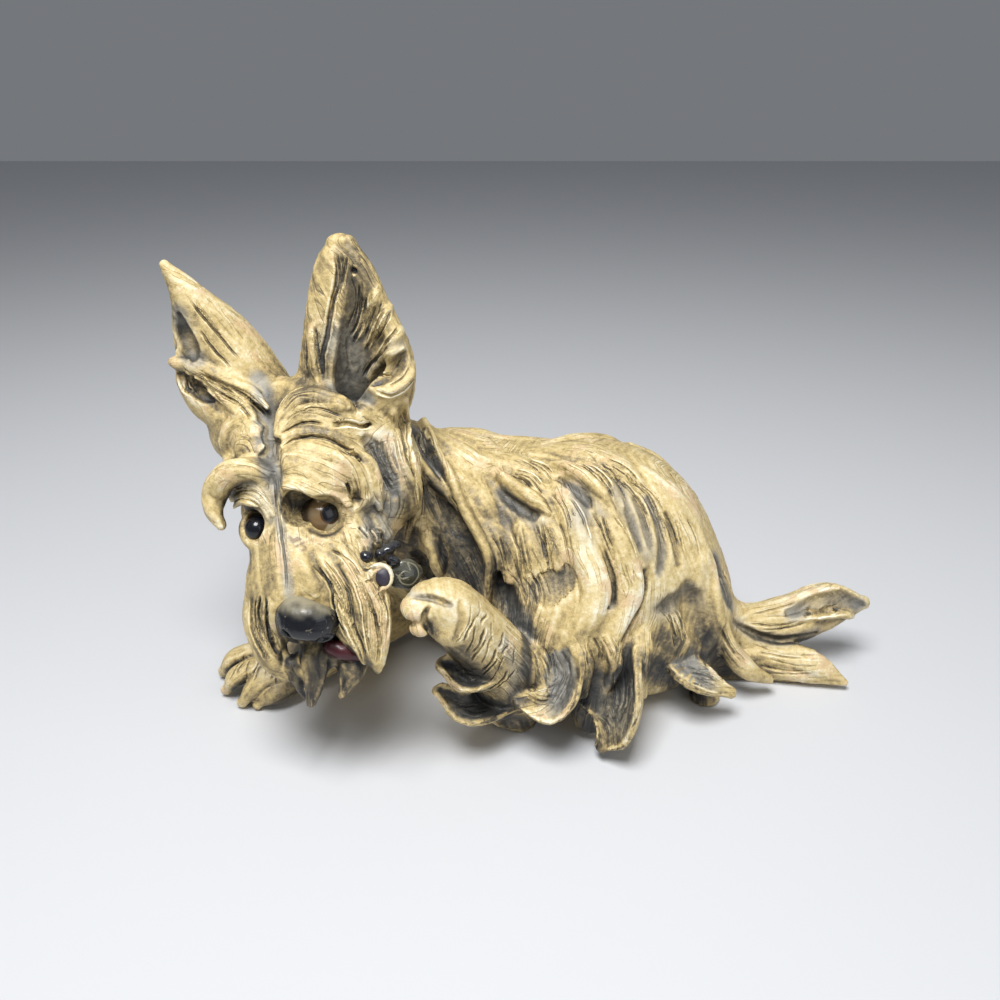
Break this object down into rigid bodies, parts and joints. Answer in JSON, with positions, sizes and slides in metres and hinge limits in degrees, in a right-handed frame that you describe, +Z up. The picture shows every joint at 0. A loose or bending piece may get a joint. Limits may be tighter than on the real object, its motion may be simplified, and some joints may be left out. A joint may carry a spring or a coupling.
{
  "type": "dog figurine",
  "caption": "Lying terrier figurine with tall ears, shaggy locks, a bushy tail and one raised forepaw, cast as one piece.",
  "frame": {"origin": "on the flat underside of the belly, at table height, about below the shoulder", "axes": "+X from the dog's head to its tail, -Y to the side that the face is turned to, +Z up"},
  "size_m": [0.3107, 0.1591, 0.2065],
  "materials": {
    "painted_resin": "hand-painted ochre resin with a dark wash, satin"
  },
  "bodies": {
    "root": {"dog_figurine": "painted_resin"}
  },
  "joints": []
}
